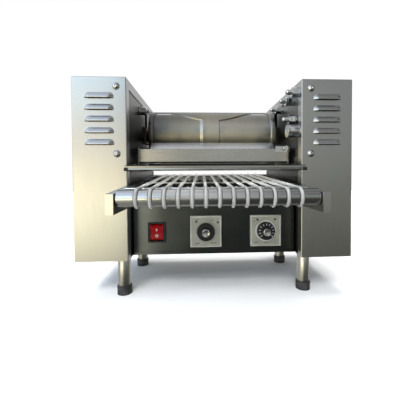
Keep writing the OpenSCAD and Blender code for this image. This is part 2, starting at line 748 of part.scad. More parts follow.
// A stud with a washer and a domed nut on the gap side, both on the face at x
module domed_nut(at, x, tip) {
    bar(x - 1.6, x, at, 7.2);
    hex_x(x - 12, x - 1.6, at, 13);
    bar(tip + 3.8, x - 11, at, 3.8);
    translate([tip + 3.8, at[0], at[1]]) intersection() {
        sphere(r = 3.8, $fn = round_fn);
        box([-4, 0.5], [-4, 4], [-4, 4]);
    }
}

// Such a stud with a tube and a plain nut on the cabinet side
module plate_bolt(at, tip, x_end) {
    domed_nut(at, plate_x, tip);
    bar(plate_x - 2, x_end, at, stud_r);
    difference() {
        bar(plate_out, x_end - 7, at, 6);
        bar(plate_out - 1, x_end - 6, at, stud_r - 0.5);
    }
    hex_x(x_end - 4, x_end, at, 13);
}

// The first stud also holds the cover's rim, and ends in a welded collar
module plate_bolts() color(bright) {
    for (i = [1:3]) plate_bolt(bolt_spots[i], bolt_tip, bracket_x1 + 4);
    domed_nut(bolt_spots[0], cab_x, bolt_tip);
    bar(cab_x - 2, plate_out + 4, bolt_spots[0], stud_r);
    bar(plate_out, plate_out + 4, bolt_spots[0], 5);
    mirror([1, 0, 0]) plate_bolt(left_bolt, plate_x - 17, plate_out + 14);
}

module socket_boss() color(bright) difference() {
    union() {
        bar(cab_x - 18, cab_x, boss_spot, 9.5);
        bar(cab_x - 1, plate_out + 4, boss_spot, boss_neck_r);
    }
    bar(cab_x - 19, cab_x - 6, boss_spot, 3.5);
}

// ---------- controls and electrics ----------

// The frame has a housing behind the panel, and small holes that hold the rocker's pins
module switch_bezel() color(dark) translate([switch_at[0], 0, switch_at[1]]) difference() {
    union() {
        box([-switch_w / 2, switch_w / 2], [panel_y - 2.5, panel_y], [-switch_h / 2, switch_h / 2]);
        box([-switch_w / 2 + 2.1, switch_w / 2 - 2.1], [panel_y - 1, panel_y + 22],
            [-switch_h / 2 + 1.6, switch_h / 2 - 1.6]);
    }
    box([-9.9, 9.9], [panel_y - 3, panel_y + 20], [-13.3, 13.3]);
    bar(-10.8, 10.8, [switch_pivot, 0], 1.5 + fit);
}

module switch_rocker() color([0.75, 0.08, 0.05]) translate([switch_at[0], 0, switch_at[1]]) {
    reach = 13.2;
    face = 9.2;
    across(-9.6, 9.6) translate([switch_pivot, 0]) rotate(7) intersection() {
        circle(r = reach, $fn = round_fn);
        polygon([[2, reach], [-face - 1, reach], [-face + 2, 0], [-face - 1, -reach], [2, -reach]]);
    }
    bar(-10.7, 10.7, [switch_pivot, 0], 1.5);
}

// A square controller: front frame, body behind the panel and a bore for its dial
module controller_case(at) color([0.62, 0.6, 0.55]) translate([at[0], 0, at[1]]) difference() {
    half = controller_w / 2;
    union() {
        box([-half, half], [panel_y - bezel_t, panel_y], [-half, half]);
        box([-cut_w / 2, cut_w / 2], [panel_y - 1, panel_y + 60], [-cut_w / 2, cut_w / 2]);
    }
    stub(panel_y - bezel_t - 1, panel_y + 12, 0, 0, 3 + fit);
}

module temperature_controller_case() controller_case(temperature_at);

module speed_controller_case() controller_case(speed_at);

// A dial with a skirt, a raised grip and a shaft
module dial(at) color(dark) {
    front = panel_y - bezel_t - 0.4;
    stub(front - 6, front, at[0], at[1], dial_d / 2);
    stub(front - 13, front - 5, at[0], at[1], grip_d / 2);
    stub(front - 1, panel_y + 10, at[0], at[1], 3);
}

module temperature_dial() dial(temperature_at);

module speed_dial() dial(speed_at);

module terminal_block() color([0.85, 0.83, 0.76]) difference() {
    box([-out_x + 12, -out_x + 30], [cab_y + 30, cab_y + 110], [base_top, base_top + 20]);
    for (i = [0:5]) translate([-out_x + 21, cab_y + 38 + i * 13, base_top + 10])
        cylinder(h = 12, r = 3, $fn = round_fn);
}

module solid_state_relay() color(dark)
    box([-plate_out - 23, -plate_out], [cab_y + 60, cab_y + 105], [floor_z + 60, floor_z + 118]);

base_plate();
left_side_plate();
right_side_plate();
left_cover();
right_cover();
cover_screws();
control_panel();
deck_plate();
rear_panel();
cable_gland();
rear_tie_rod();
legs();
leg_nuts();
rubber_feet();
drum_shell();
drum_left_flange();
drum_right_flange();
drum_drive_shaft();
drum_bearings();
drum_gear();
heater_carrier();
heater_rods();
heater_clamp();
batter_tank();
tank_tab();
tank_rails();
doctor_plate();
drip_tray();
tray_rails();
peel_knife();
knife_holder_bar();
wrapper_chute();
left_conveyor_bracket();
right_conveyor_bracket();
front_roller();
front_roller_axle();
rear_roller();
rear_roller_shaft();
conveyor_bushes();
conveyor_cords();
cord_support_rods();
roller_gear();
upper_idler_gear();
lower_idler_gear();
idler_pins();
gear_motor();
gearbox();
motor_bracket();
motor_shaft();
motor_pinion();
plate_bolts();
socket_boss();
switch_bezel();
switch_rocker();
temperature_controller_case();
temperature_dial();
speed_controller_case();
speed_dial();
terminal_block();
solid_state_relay();
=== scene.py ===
"""Looks of the drum wrapper sheet machine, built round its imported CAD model.

Metres throughout. X runs across the machine, Y from front to back and Z up. Places come from the CAD
nodes' own boxes. Sizes that the CAD model shares with this script are named at the top.
"""

import math

import bmesh
import bpy
from mathutils import Matrix, Vector


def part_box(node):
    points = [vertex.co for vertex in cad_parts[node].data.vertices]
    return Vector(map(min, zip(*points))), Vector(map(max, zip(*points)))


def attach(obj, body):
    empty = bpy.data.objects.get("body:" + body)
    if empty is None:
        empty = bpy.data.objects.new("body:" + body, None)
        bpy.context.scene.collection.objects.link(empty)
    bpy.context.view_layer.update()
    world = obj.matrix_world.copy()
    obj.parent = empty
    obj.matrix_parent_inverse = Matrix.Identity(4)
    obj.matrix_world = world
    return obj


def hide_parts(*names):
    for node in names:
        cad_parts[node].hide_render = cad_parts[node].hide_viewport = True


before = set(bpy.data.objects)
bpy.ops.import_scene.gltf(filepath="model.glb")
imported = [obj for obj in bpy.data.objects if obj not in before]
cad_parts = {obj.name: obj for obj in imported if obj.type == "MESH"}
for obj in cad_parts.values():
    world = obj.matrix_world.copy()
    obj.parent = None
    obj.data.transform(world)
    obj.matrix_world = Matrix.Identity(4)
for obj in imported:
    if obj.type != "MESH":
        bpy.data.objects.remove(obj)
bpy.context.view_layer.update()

MM = 0.001

# Sheet-metal covers
SHEET = 1.2 * MM
RIM = 14 * MM
FOLD_R = 1.3 * MM
LOUVRES = 5
LOUVRE_W = 40.5 * MM
LOUVRE_H = 8 * MM
LOUVRE_OUT = 3.6 * MM
LOUVRE_PITCH = 16.4 * MM
LOUVRE_R = 6.5 * MM        # radius of a louvre's upper corners
LOUVRE_SLOPE = 6.4 * MM    # width of the slope from the sheet up to a louvre's front
LOUVRE_IN = 38 * MM        # a louvre's middle, from the cabinet's inner face
LOUVRE_DOWN = 26 * MM      # the top louvre's middle, from the cabinet's top
OPEN_BELOW = 130 * MM      # the rear rim stops this far above the cabinet's bottom

# Drum
RECESS = 1.8 * MM
PLATE_R = 92 * MM
STRIP_HALF = 14.2 * MM
STRIP_X = -2.8 * MM        # the strip's middle, from the drum's middle
PLATE_ANGLE = 25           # degrees, from straight back and up
STEP_LEFT = 5.5 * MM       # width of the raised surface's slanted edge on its left
STEP_RIGHT = 1.0 * MM      # and on its right

# Rollers
CORDS = 13
CORD_PITCH = 15.7 * MM
GROOVE_W = 4.8 * MM
GROOVE_D = 2 * MM
AXLE_R = 4 * MM

# Controls
DIAL_FRONT = 6 * MM        # depth of a dial's black skirt
DIAL_GRIP = 6.5 * MM       # radius of the cap on it
DIAL_SINK = 0.4 * MM       # a dial's back, in front of its controller's face
TICK_SWEEP = 260           # degrees from a dial's first mark to its last

# Tray
BAR_R = 1.7 * MM           # radius of the bar along the tray's front edge

# Camera: picture width and focal length in the same unit, and degrees
PICTURE = 420.0
FOCAL = 260
SHIFT = (-4, -30)
CAMERA_X = -21 * MM
CAMERA_BACK = 375 * MM     # in front of the cabinets
CAMERA_Z = 185 * MM
YAW, PITCH, ROLL = -2.80, 1.46, -0.33

# Studio
FLOOR_R = 2.6
FLOOR_FADE = (0.4, 1.3)    # the floor turns into the white backdrop between these radii
SKY_GAIN = 5.0             # the room's colours are this much brighter than their ramps hold
WHITE = (1, 1, 1)
# Name, place, target, size, power, colour and spread in degrees
LIGHTS = [
    ("top", (-0.1, 0.3, 2.0), (-0.1, 0.3, 0), (1.4, 1.4), 6, WHITE, 55),
    ("far", (0.0, 2.0, 2.6), (0, 1.9, 0), (5.0, 2.4), 60, WHITE, 60),
    ("front", (-0.2, -0.95, 1.0), (-0.05, -0.05, 0), (0.7, 0.4), 1.2, WHITE, 42),
    ("warm_left", (-0.5, -0.95, 1.2), (-0.5, -0.95, 0), (0.4, 0.9), 4.5, (1.0, 0.95, 0.80), 36),
]

# The faces of a box whose corners run through X, then Y, then Z
BOX_FACES = ((0, 1, 3, 2), (4, 6, 7, 5), (0, 4, 5, 1), (2, 3, 7, 6), (1, 5, 7, 3), (0, 2, 6, 4))


# ---------- materials ----------

class Shader:
    """A node material in the making: links nodes with few words."""

    def __init__(self, name, metallic, roughness, **constants):
        self.mat = bpy.data.materials.new(name)
        self.mat.use_nodes = True
        self.nodes = self.mat.node_tree.nodes
        self.links = self.mat.node_tree.links
        self.bsdf = self.nodes["Principled BSDF"]
        self.bsdf.inputs["Metallic"].default_value = metallic
        self.bsdf.inputs["Roughness"].default_value = roughness
        for key, value in constants.items():
            self.bsdf.inputs[key.replace("_", " ")].default_value = value
        self.place = self.add("ShaderNodeTexCoord").outputs["Object"]

    def add(self, kind, **settings):
        node = self.nodes.new(kind)
        for key, value in settings.items():
            setattr(node, key, value)
        return node

    def noise(self, scale, detail=3.0, stretch=(1, 1, 1)):
        """A noise between 0 and 1 in object space, stretched along the axes."""
        mapping = self.add("ShaderNodeMapping")
        mapping.inputs["Scale"].default_value = stretch
        self.links.new(self.place, mapping.inputs["Vector"])
        node = self.add("ShaderNodeTexNoise")
        node.inputs["Scale"].default_value = scale
        node.inputs["Detail"].default_value = detail
        self.links.new(mapping.outputs["Vector"], node.inputs["Vector"])
        return node.outputs["Fac"]

    def span(self, value, low, high, start=0.3, end=0.7):
        """The value's range start..end spread over low..high."""
        node = self.add("ShaderNodeMapRange")
        for key, number in (("From Min", start), ("From Max", end), ("To Min", low), ("To Max", high)):
            node.inputs[key].default_value = number
        self.links.new(value, node.inputs["Value"])
        return node.outputs["Result"]

    def ramp(self, value, *stops):
        """Colours at positions, as (position, colour) pairs."""
        node = self.add("ShaderNodeValToRGB")
        elements = node.color_ramp.elements
        while len(elements) < len(stops):
            elements.new(0.5)
        for element, (position, colour) in zip(elements, stops):
            element.position = position
            element.color = (*colour, 1)
        self.links.new(value, node.inputs["Fac"])
        return node.outputs["Color"]

    def shades(self, axis, *stops):
        """A colour that changes along an axis of object space, as (metres, colour or grey) pairs."""
        split = self.add("ShaderNodeSeparateXYZ")
        self.links.new(self.place, split.inputs[0])
        first, last = stops[0][0], stops[-1][0]
        way = self.span(split.outputs[axis], 0.0, 1.0, first, last)
        return self.ramp(way, *(((at - first) / (last - first), c if isinstance(c, tuple) else (c,) * 3)
                                for at, c in stops))

    def mix(self, a, b, factor, how="MIX"):
        """Colour a mixed with colour b; the factor is a number or a socket."""
        node = self.add("ShaderNodeMix", data_type="RGBA", blend_type=how)
        for key, value in (("A", a), ("B", b)):
            socket = [s for s in node.inputs if s.name == key and s.type == "RGBA"][0]
            if isinstance(value, tuple):
                socket.default_value = (*value, 1)
            else:
                self.links.new(value, socket)
        if isinstance(factor, float):
            node.inputs[0].default_value = factor
        else:
            self.links.new(factor, node.inputs[0])
        return [s for s in node.outputs if s.type == "RGBA"][0]

    def colour(self, value):
        self.links.new(value, self.bsdf.inputs["Base Color"])

    def roughness(self, value):
        self.links.new(value, self.bsdf.inputs["Roughness"])

    def bump(self, value, strength, distance):
        node = self.add("ShaderNodeBump")
        node.inputs["Strength"].default_value = strength
        node.inputs["Distance"].default_value = distance
        self.links.new(value, node.inputs["Height"])
        self.links.new(node.outputs["Normal"], self.bsdf.inputs["Normal"])


def shade(colour, k):
    return tuple(min(1.0, c * k) for c in colour)


def brushed(name, colour, along, rough=0.30, streak=0.06, cloud=0.05, edge=1.0, painted_shade=None):
    """Brushed stainless sheet: fine lines along one axis, a faint cloudiness, and painted shade that
    darkens it along an axis, given as that axis and (place, shade) pairs."""
    s = Shader(name, 1.0, rough)
    stretch = {"X": (0.02, 1, 1), "Y": (1, 0.02, 1), "Z": (1, 1, 0.02)}[along]
    lines = s.noise(1400, 2.0, stretch)
    clouds = s.noise(16, 3.0)
    s.bsdf.inputs["Specular Tint"].default_value = (edge, edge, edge, 1)
    base = s.ramp(clouds, (0.3, shade(colour, 1 - cloud)), (0.7, shade(colour, 1 + cloud)))
    grain = s.ramp(lines, (0.3, (1 - streak,) * 3), (0.7, (1.0,) * 3))
    base = s.mix(base, grain, 1.0, "MULTIPLY")
    # Painted shade: the colour is darkened along an axis
    if painted_shade:
        base = s.mix(base, s.shades(*painted_shade), 1.0, "MULTIPLY")
    s.colour(base)
    s.roughness(s.span(lines, rough - 0.02, rough + 0.03))
    s.bump(lines, 0.05, 0.1 * MM)
    return s.mat


def polished(name, colour, rough=0.14, painted_shade=None):
    """Turned or polished steel with light handling marks and, if given, painted shade along an axis."""
    s = Shader(name, 1.0, rough)
    marks = s.noise(900, 3.0)
    base = s.ramp(s.noise(30, 2.0), (0.3, shade(colour, 0.96)), (0.7, colour))
    # Painted shade: the colour is darkened along an axis
    if painted_shade:
        base = s.mix(base, s.shades(*painted_shade), 1.0, "MULTIPLY")
    s.colour(base)
    s.roughness(s.span(marks, rough * 0.85, rough * 1.2))
    s.bump(marks, 0.02, 0.03 * MM)
    return s.mat


def drum_steel(name):
    """The baking surface: fine lines round it, warm patches left by heat, painted shade at its ends and top.
    """
    s = Shader(name, 1.0, 0.36)
    lines = s.noise(900, 2.0, (1, 0.03, 0.03))
    patches = s.noise(17, 4.0, (1, 0.7, 0.7))
    base = s.ramp(patches, (0.38, (0.34, 0.34, 0.33)), (0.50, (0.46, 0.445, 0.40)),
                  (0.66, (0.54, 0.49, 0.40)))
    grain = s.ramp(lines, (0.3, (0.93,) * 3), (0.7, (1.0,) * 3))
    base = s.mix(base, grain, 1.0, "MULTIPLY")
    # Painted shade: the drum darkens towards its ends, most at the left
    ends = s.shades("X", (-0.116, 0.36), (-0.06, (0.62, 0.62, 0.60)), (-0.005, (1.0, 1.0, 0.97)),
                    (0.116, 0.92))
    base = s.mix(base, ends, 1.0, "MULTIPLY")
    # Painted shade: the drum darkens towards its top
    painted_top_shade = s.shades("Z", (0.25, (1.0, 0.97, 0.88)), (0.272, 1.0), (0.288, 0.74), (0.301, 0.60))
    s.colour(s.mix(base, painted_top_shade, 1.0, "MULTIPLY"))
    s.roughness(s.span(patches, 0.30, 0.44))
    s.bump(lines, 0.10, 0.1 * MM)
    return s.mat


def plastic(name, colour, rough=0.42, grain=900, depth=0.08, vary=0.12, **constants):
    """Moulded plastic with a fine spark-eroded grain."""
    s = Shader(name, 0.0, rough, **constants)
    fine = s.noise(grain, 3.0)
    clouds = s.noise(60, 3.0)
    s.colour(s.ramp(clouds, (0.3, shade(colour, 1 - vary)), (0.7, shade(colour, 1 + vary))))
    s.roughness(s.span(fine, rough - 0.06, rough + 0.08))
    s.bump(fine, depth, 0.08 * MM)
    return s.mat


def rubber(name):
    """Black rubber with a dusty bloom."""
    s = Shader(name, 0.0, 0.75)
    fine = s.noise(700, 4.0)
    dust = s.noise(70, 4.0)
    s.colour(s.ramp(dust, (0.35, (0.018, 0.018, 0.018)), (0.75, (0.05, 0.049, 0.047))))
    s.roughness(s.span(fine, 0.65, 0.9))
    s.bump(fine, 0.2, 0.1 * MM)
    return s.mat


def cord_plastic(name):
    """Milky polyurethane cord: painted shade darkens it round the front roller, a painted glow lifts it
    behind.
    """
    s = Shader(name, 0.0, 0.5)
    soil = s.noise(45, 4.0)
    fine = s.noise(1200, 2.0)
    # Painted shade: the cord is dark round the front roller
    painted_front_shade = s.ramp(soil, (0.32, (0.22, 0.22, 0.21)), (0.66, (0.28, 0.28, 0.27)))
    own_colour = s.ramp(soil, (0.32, (0.84, 0.84, 0.80)), (0.66, (0.94, 0.94, 0.90)))
    s.colour(s.mix(painted_front_shade, own_colour, s.shades("Y", (-0.128, 0.0), (-0.05, 1.0))))
    # Painted light: the cord glows behind the front roller
    painted_glow = s.shades("Y", (-0.105, 0.0), (-0.075, (0.25, 0.25, 0.235)))
    s.links.new(painted_glow, s.bsdf.inputs["Emission Color"])
    s.bsdf.inputs["Emission Strength"].default_value = 1.0
    s.roughness(s.span(soil, 0.35, 0.5))
    s.bump(fine, 0.12, 0.08 * MM)
    return s.mat


cover_steel = brushed("cover_stainless", (0.42, 0.42, 0.412), "Z", rough=0.32, streak=0.035, cloud=0.03)
# Painted reflection: the control panel, rear panel and base plate are dark and fall from bright on the left
# to darker on the right
panel_steel = brushed("panel_stainless", (0.15, 0.165, 0.17), "X", rough=0.34, cloud=0.2,
                      painted_shade=("X", (-0.125, 1.0), (-0.105, 0.92), (-0.08, 0.56), (-0.05, 0.44), (-0.02, 0.36),
                            (0.05, 0.32), (0.12, 0.30)))
# Painted shade: the deck is near black with dark reflections, standing for the shade under the conveyor
deck_steel = brushed("deck_stainless", (0.05, 0.05, 0.048), "X", rough=0.45, edge=0.1)
# Painted shade: the side plates darken towards the bottom
plate_steel = brushed("plate_stainless", (0.20, 0.20, 0.185), "Y", rough=0.36,
                      painted_shade=("Z", (0.16, 0.26), (0.20, 0.30), (0.24, 0.50), (0.27, 0.62), (0.31, 1.0)))
rail_steel = brushed("rail_stainless", (0.10, 0.10, 0.094), "Y", rough=0.36)
sheet_x = brushed("sheet_stainless", (0.42, 0.42, 0.40), "X", rough=0.28)
# Painted shade: the tray darkens towards its back, under the batter tank
tray_steel = brushed("tray_stainless", (0.34, 0.345, 0.33), "X", rough=0.28,
                     painted_shade=("Y", (-0.02, 1.0), (0.02, 0.22)))
# Painted shade: the conveyor brackets darken towards the back
bracket_steel = brushed("bracket_stainless", (0.50, 0.50, 0.49), "Y", rough=0.30,
                        painted_shade=("Y", (-0.10, 1.0), (-0.05, 0.45), (0.13, 0.30)))
rod_steel = polished("rod_steel", (0.80, 0.80, 0.79), rough=0.3)
blade_steel = brushed("blade_stainless", (0.74, 0.76, 0.80), "X", rough=0.26)
plain_steel = brushed("plain_steel", (0.32, 0.32, 0.32), "X", rough=0.42, streak=0.12)
bright_steel = polished("bright_steel", (0.52, 0.53, 0.54))
# Painted reflection: the rollers are brightest left of their middle and darker towards the right
roller_steel = polished("roller_steel", (0.74, 0.755, 0.755), rough=0.2,
                        painted_shade=("X", (-0.113, 0.68), (-0.09, 0.76), (-0.07, 0.95), (-0.04, 1.0), (-0.02, 0.86),
                              (0.0, 0.68), (0.03, 0.57), (0.06, 0.49), (0.116, 0.50)))
leg_steel = polished("leg_steel", (0.50, 0.50, 0.475), rough=0.3)
drum_metal = drum_steel("drum_steel")
bronze = polished("bronze", (0.07, 0.06, 0.042), rough=0.42)
black_plastic = plastic("black_plastic", (0.010, 0.010, 0.010), rough=0.5, Specular_IOR_Level=0.22)
case_plastic = plastic("case_plastic", (0.20, 0.20, 0.165), rough=0.5)
lip_plastic = plastic("lip_plastic", (0.34, 0.34, 0.29), rough=0.45)
nylon = plastic("nylon", (0.55, 0.53, 0.46), rough=0.5)
red_plastic = plastic("red_plastic", (0.17, 0.003, 0.004), rough=0.25, depth=0.03, Specular_IOR_Level=0.14)
mark_paint = plastic("mark_paint", (0.42, 0.41, 0.40), rough=0.5, vary=0.05)
dark_paint = plastic("motor_paint", (0.04, 0.042, 0.047), rough=0.45)
heat_steel = brushed("heat_steel", (0.18, 0.14, 0.11), "X", rough=0.5, streak=0.2, cloud=0.2)
foot_rubber = rubber("foot_rubber")
cord_mat = cord_plastic("cord_polyurethane")


# ---------- mesh helpers ----------

def piece(name, verts, faces, material, body, sharp=35):
    """A mesh object that rides on a body, smooth except at edges sharper than the angle."""
    mesh = bpy.data.meshes.new(name)
    mesh.from_pydata([tuple(v) for v in verts], [], faces)
    obj = bpy.data.objects.new(name, mesh)
    bpy.context.scene.collection.objects.link(obj)
    mesh.materials.append(material)
    tidy(mesh)
    mesh.shade_smooth()
    mesh.set_sharp_from_angle(angle=math.radians(sharp))
    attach(obj, body)
    return obj


def tidy(mesh):
    """Welds equal vertices and turns every face outwards."""
    bm = bmesh.new()
    bm.from_mesh(mesh)
    bmesh.ops.remove_doubles(bm, verts=bm.verts, dist=1e-6)
    bmesh.ops.recalc_face_normals(bm, faces=bm.faces)
    bm.to_mesh(mesh)
    bm.free()


def bevel(obj, width, segments, angle=30, by_weight=False):
    """Rounds an object's edges: those marked by weight, or those sharper than the angle."""
    mod = obj.modifiers.new("edges", "BEVEL")
    mod.width = width
    mod.segments = segments
    mod.limit_method = "WEIGHT" if by_weight else "ANGLE"
    mod.angle_limit = math.radians(angle)
    mod.harden_normals = not by_weight


def around(origin, axis):
    """A matrix that takes Z to an axis at an origin."""
    turn = Vector(axis).to_track_quat("Z", "Y").to_matrix().to_4x4()
    return Matrix.Translation(Vector(origin)) @ turn


def rings(rows, segments, closed=False):
    """Faces between rows of points that each run round; closed joins the last row to the first."""
    faces = []
    for k in range(rows if closed else rows - 1):
        m = (k + 1) % rows
        for i in range(segments):
            j = (i + 1) % segments
            faces.append((k * segments + i, k * segments + j, m * segments + j, m * segments + i))
    return faces


def lathe(name, profile, origin, axis, material, body, segments=64, ribs=0, rib_depth=0.0, sharp=35):
    """Turns a profile of (radius, height) points round an axis; ribs flute its widest part."""
    verts = []
    place = around(origin, axis)
    reach = max(r for r, _ in profile)
    for r, h in profile:
        for i in range(segments):
            a = 2 * math.pi * i / segments
            cut = rib_depth * (0.5 - 0.5 * math.cos(ribs * a)) if ribs and r > 0.9 * reach else 0.0
            verts.append(place @ Vector(((r - cut) * math.cos(a), (r - cut) * math.sin(a), h)))
    rows = len(profile)
    faces = rings(rows, segments)
    faces.append(tuple(range(segments)))
    faces.append(tuple((rows - 1) * segments + i for i in range(segments)))
    return piece(name, verts, faces, material, body, sharp)


def box_mesh(boxes):
    """Vertices and faces of several boxes, each given by its two corners."""
    verts, faces = [], []
    for (x0, y0, z0), (x1, y1, z1) in boxes:
        base = len(verts)
        verts += [(x, y, z) for x in (x0, x1) for y in (y0, y1) for z in (z0, z1)]
        faces += [tuple(base + k for k in f) for f in BOX_FACES]
    return verts, faces


def middle(node):
    lo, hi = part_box(node)
    return (lo + hi) / 2


def spread(a, b, count):
    """Numbers from a to b in equal steps."""
    return [a + (b - a) * i / count for i in range(count + 1)]


# ---------- covers ----------


def hood(x, z, centre_x, centres_z):
    """How far a louvre's skin stands out at a place on the front."""
    for cz in centres_z:
        from_top = cz + LOUVRE_H / 2 - z
        from_end = LOUVRE_W / 2 - abs(x - centre_x)
        if from_end <= 0 or not -1e-6 <= LOUVRE_H - from_top <= LOUVRE_H:
            continue
        depth = min(from_end, from_top)
        if max(from_end, from_top) < LOUVRE_R:
            depth = LOUVRE_R - math.hypot(LOUVRE_R - from_end, LOUVRE_R - from_top)
        t = min(1.0, max(0.0, depth) / LOUVRE_SLOPE)
        return LOUVRE_OUT * t * (1.2 - 0.2 * t * t)
    return 0.0


def cover(name, node):
    """A folded cabinet cover with rims round its open side and punched louvres in its front."""
    lo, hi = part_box(node)
    left = lo.x < 0
    inner, outer = (hi.x, lo.x) if left else (lo.x, hi.x)
    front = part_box("right_side_plate")[0].y - SHEET
    rear, top, bottom = hi.y, hi.z, lo.z
    way = -1 if left else 1
    centre_x = inner + way * LOUVRE_IN
    centres_z = [top - LOUVRE_DOWN - i * LOUVRE_PITCH for i in range(LOUVRES)]
    half = LOUVRE_W / 2
    margin = 0.5 * MM
    xs = [inner, centre_x - way * (half + margin), *spread(centre_x - way * half, centre_x + way * half, 54),
          centre_x + way * (half + margin), outer]
    zs = [bottom, bottom + OPEN_BELOW]
    for cz in reversed(centres_z):
        zs += [cz - LOUVRE_H / 2 - margin, *spread(cz - LOUVRE_H / 2, cz + LOUVRE_H / 2, 14),
               cz + LOUVRE_H / 2 + margin]
    zs += [top - RIM, top]
    zs = sorted(set(round(z, 7) for z in zs))
    sills = {round(cz - LOUVRE_H / 2, 7) for cz in centres_z}
    ys = [front, front + RIM, rear - RIM, rear]

    bm = bmesh.new()
    known = {}

    def vert(x, y, z, key=""):
        spot = (round(x, 7), round(y, 7), round(z, 7), key)
        if spot not in known:
            known[spot] = bm.verts.new((x, y, z))
        return known[spot]

    def quad(*corners):
        bm.faces.new(corners)

    def skin(x, z, above):
        """A vertex of the front; a louvre's lower lip is apart from the sill below it."""
        out = hood(x, z, centre_x, centres_z)
        if round(z, 7) in sills:
            if above and out > 0:
                return vert(x, front - out, z, "lip")
            return vert(x, front, z)
        return vert(x, front - out, z)

    for x0, x1 in zip(xs, xs[1:]):
        for z0, z1 in zip(zs, zs[1:]):
            quad(skin(x0, z0, True), skin(x1, z0, True), skin(x1, z1, False), skin(x0, z1, False))
            quad(vert(x0, rear, z0), vert(x1, rear, z0), vert(x1, rear, z1), vert(x0, rear, z1))
        for y0, y1 in zip(ys, ys[1:]):
            quad(vert(x0, y0, top), vert(x1, y0, top), vert(x1, y1, top), vert(x0, y1, top))
    for z0, z1 in zip(zs, zs[1:]):
        for y0, y1 in zip(ys, ys[1:]):
            quad(vert(outer, y0, z0), vert(outer, y1, z0), vert(outer, y1, z1), vert(outer, y0, z1))
        rims = [(ys[0], ys[1])]
        if z0 >= bottom + OPEN_BELOW - 1e-6:
            rims.append((ys[2], ys[3]))
        if z0 >= top - RIM - 1e-6:
            rims.append((ys[1], ys[2]))
        for y0, y1 in rims:
            quad(vert(inner, y0, z0), vert(inner, y1, z0), vert(inner, y1, z1), vert(inner, y0, z1))
    bmesh.ops.recalc_face_normals(bm, faces=bm.faces)
    probe = [f for f in bm.faces if abs(f.calc_center_median().x - outer) < 1e-6][0]
    if probe.normal.x * way < 0:
        bmesh.ops.reverse_faces(bm, faces=bm.faces)
    weight = bm.edges.layers.float.new("bevel_weight_edge")
    for edge in bm.edges:
        if len(edge.link_faces) == 2 and edge.calc_face_angle(0.0) > math.radians(85):
            edge[weight] = 1.0
    mesh = bpy.data.meshes.new(name)
    bm.to_mesh(mesh)
    bm.free()
    mesh.materials.append(cover_steel)
    mesh.shade_smooth()
    obj = bpy.data.objects.new(name, mesh)
    bpy.context.scene.collection.objects.link(obj)
    bevel(obj, FOLD_R, 3, by_weight=True)
    thick = obj.modifiers.new("sheet", "SOLIDIFY")
    thick.thickness = SHEET
    thick.offset = -1
    normals = obj.modifiers.new("normals", "WEIGHTED_NORMAL")
    normals.keep_sharp = True
    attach(obj, "chassis")
    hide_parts(node)


# ---------- drum ----------

def drum_surface():
    """The drum's shell, open under its end flanges, with its raised plate and the strip round to it."""
    lo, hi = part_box("drum_shell")
    centre, radius = (lo + hi) / 2, (hi.z - lo.z) / 2
    half = (hi.x - lo.x) / 2
    low_r = radius - RECESS

    def spot(x, angle, r):
        a = math.radians(angle)
        return Vector((centre.x + x, centre.y + r * math.cos(a), centre.z + r * math.sin(a)))

    def joined(circle, strip):
        """Half width where the round plate runs into the strip with a rounded corner."""
        return (circle + strip + math.hypot(circle - strip, 5 * MM)) / 2

    # Rows round the drum: (angle from the plate's middle, half width of the round plate)
    count = 150
    rows = []
    for turn in spread(0.02, math.pi - 0.02, count):
        rows.append((math.degrees(-PLATE_R * math.cos(turn) / radius), PLATE_R * math.sin(turn)))
    reach = rows[-1][0]
    rows += [(angle, 0.0) for angle in spread(reach, 360 - reach, 48)[1:-1]]
    verts, faces = [], []
    inner = spread(0, 1, 8)[1:-1]
    for angle, w in rows:
        a = PLATE_ANGLE + angle
        left = -joined(w, STRIP_HALF - STRIP_X)
        right = joined(w, STRIP_HALF + STRIP_X)
        line = [(-half, low_r), (left - STEP_LEFT, low_r), (left, radius)]
        line += [(left + (right - left) * t, radius) for t in inner]
        line += [(right, radius), (right + STEP_RIGHT, low_r), (half, low_r)]
        verts += [spot(x, a, r) for x, r in line]
    across = len(inner) + 6
    n = len(rows)
    for k in range(n):
        m = (k + 1) % n
        for i in range(across - 1):
            faces.append((k * across + i, m * across + i, m * across + i + 1, k * across + i + 1))
    obj = piece("drum_surface", verts, faces, drum_metal, "drum", sharp=11)
    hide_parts("drum_shell")


def grooved_roller(name, node, body):
    """A conveyor roller: a turned tube with chamfered ends and a groove for each cord."""
    lo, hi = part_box(node)
    radius, length = (hi.z - lo.z) / 2, hi.x - lo.x
    edge = 0.35 * MM
    profile = [(AXLE_R, 0), (radius - edge, 0), (radius, edge)]
    for i in range(CORDS):
        at = length / 2 + (i - (CORDS - 1) / 2) * CORD_PITCH
        for r, h in ((0, -GROOVE_W / 2 - edge), (edge, -GROOVE_W / 2), (GROOVE_D, 0.1 * MM - GROOVE_W / 2),
                     (GROOVE_D, GROOVE_W / 2 - 0.1 * MM), (edge, GROOVE_W / 2), (0, GROOVE_W / 2 + edge)):
            profile.append((radius - r, at + h))
    profile += [(radius, length - edge), (radius - edge, length), (AXLE_R, length)]
    mid = middle(node)
    obj = lathe(name, profile, (lo.x, mid.y, mid.z), (1, 0, 0), roller_steel, body, 72, sharp=25)
    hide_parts(node)


# ---------- controls ----------

